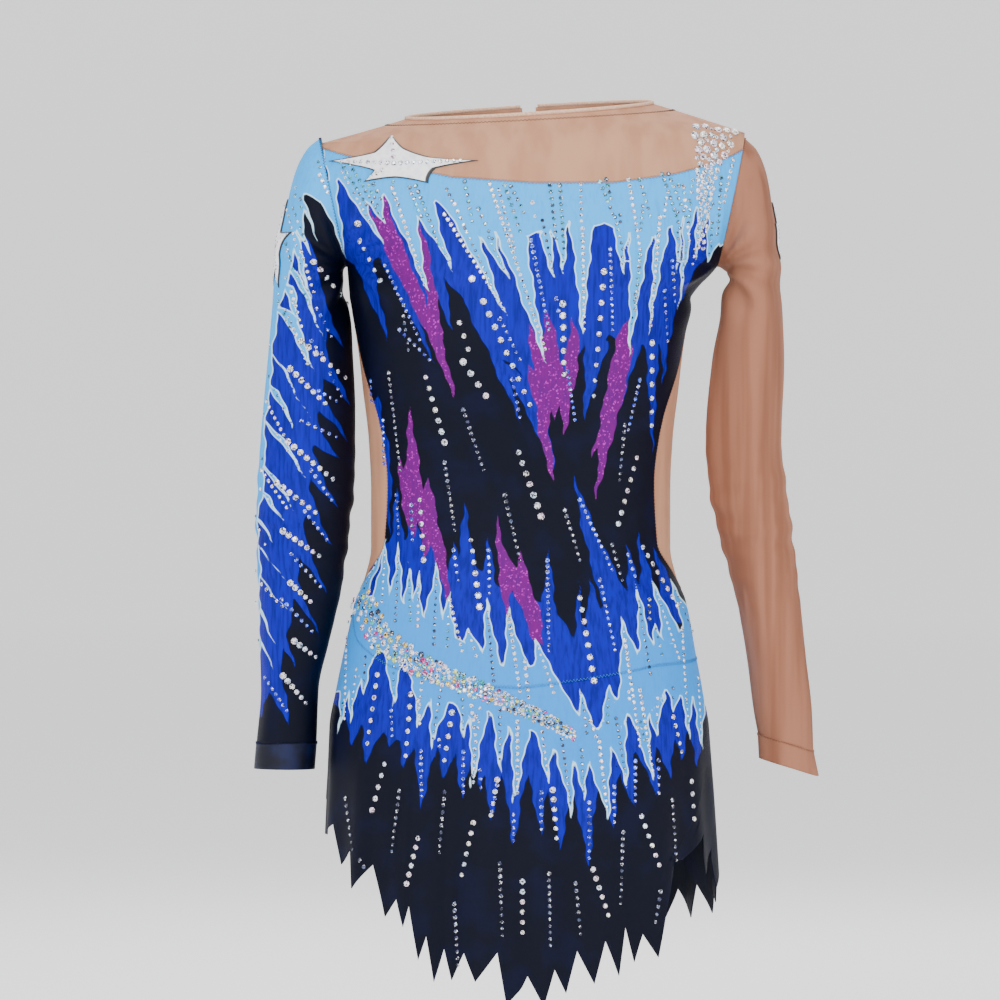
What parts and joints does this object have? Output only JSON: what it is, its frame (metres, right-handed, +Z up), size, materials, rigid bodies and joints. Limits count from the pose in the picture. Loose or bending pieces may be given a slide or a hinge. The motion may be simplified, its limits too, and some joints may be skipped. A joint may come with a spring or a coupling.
{
  "type": "gymnastics leotard",
  "caption": "Long-sleeved competition leotard with flame print, skin-tone mesh insets, set stones, starfish appliques, a centre-back zip and a pointed two-part skirt over a brief.",
  "frame": {"origin": "middle of the shoulder rest, level with the neck edge and half way between front and back", "axes": "+X to the wearer's left, front facing -Y, +Z up"},
  "size_m": [0.4592, 0.2726, 0.7298],
  "materials": {
    "printed_lycra": "printed four-way stretch lycra with a soft sheen",
    "skin_mesh": "fine skin-tone stretch mesh, dull",
    "navy_lycra": "navy stretch lycra with a soft sheen",
    "lining_cloth": "thin brushed lining",
    "elastic": "natural rubber strip",
    "set_stones": "foil-backed faceted glass stones",
    "white_applique": "white satin with a black edge stitch",
    "zip_tape": "woven tape",
    "zip_coil": "nylon coil",
    "zip_metal": "lacquered skin-tone"
  },
  "bodies": {
    "garment_body": {"bodice_back_left": "printed_lycra", "bodice_back_right": "printed_lycra", "bodice_front": "printed_lycra", "brief_back": "navy_lycra", "brief_front": "navy_lycra", "bust_lining": "lining_cloth", "crotch_gusset": "navy_lycra", "crystal_belt": "set_stones", "crystal_strap": "set_stones", "gusset_lining": "lining_cloth", "leg_binding_left": "navy_lycra", "leg_binding_right": "navy_lycra", "leg_elastic_left": "elastic", "leg_elastic_right": "elastic", "neck_binding": "skin_mesh", "neck_elastic": "elastic", "side_panel_left": "skin_mesh", "side_panel_right": "skin_mesh", "skirt_back": "printed_lycra", "skirt_front": "printed_lycra", "starfish_chest": "white_applique", "yoke_back_left": "skin_mesh", "yoke_back_right": "skin_mesh", "yoke_front": "skin_mesh", "zip_bottom_stop": "zip_metal", "zip_coil_left": "zip_coil", "zip_coil_right": "zip_coil", "zip_tape_left": "zip_tape", "zip_tape_right": "zip_tape", "zip_top_stop_left": "zip_metal", "zip_top_stop_right": "zip_metal"},
    "sleeve_left_body": {"sleeve_left": "skin_mesh", "cuff_left": "skin_mesh", "starfish_sleeve_left": "white_applique"},
    "sleeve_right_body": {"sleeve_right": "printed_lycra", "cuff_right": "navy_lycra", "starfish_sleeve_right": "white_applique"},
    "zip_slider_body": {"zip_slider": "zip_metal"},
    "pull_tab_body": {"zip_pull_tab": "zip_metal"}
  },
  "joints": [
    {"name": "zip_slide", "type": "slide", "parent": "garment_body", "child": "zip_slider_body", "axis": [0, 0.133, -0.9911], "range_m": [0, 0.184]},
    {"name": "pull_flip", "type": "hinge", "parent": "zip_slider_body", "child": "pull_tab_body", "pos_m": [0.007, 0.06349, -0.00736], "axis": [1, 0, 0], "range_deg": [0, 160]},
    {"name": "sleeve_left_raise", "type": "hinge", "parent": "garment_body", "child": "sleeve_left_body", "pos_m": [0.1826, 0, -0.0208], "axis": [0, -1, 0], "range_deg": [0, 90]},
    {"name": "sleeve_right_raise", "type": "hinge", "parent": "garment_body", "child": "sleeve_right_body", "pos_m": [-0.1636, 0, -0.0208], "axis": [0, 1, 0], "range_deg": [0, 90]}
  ]
}
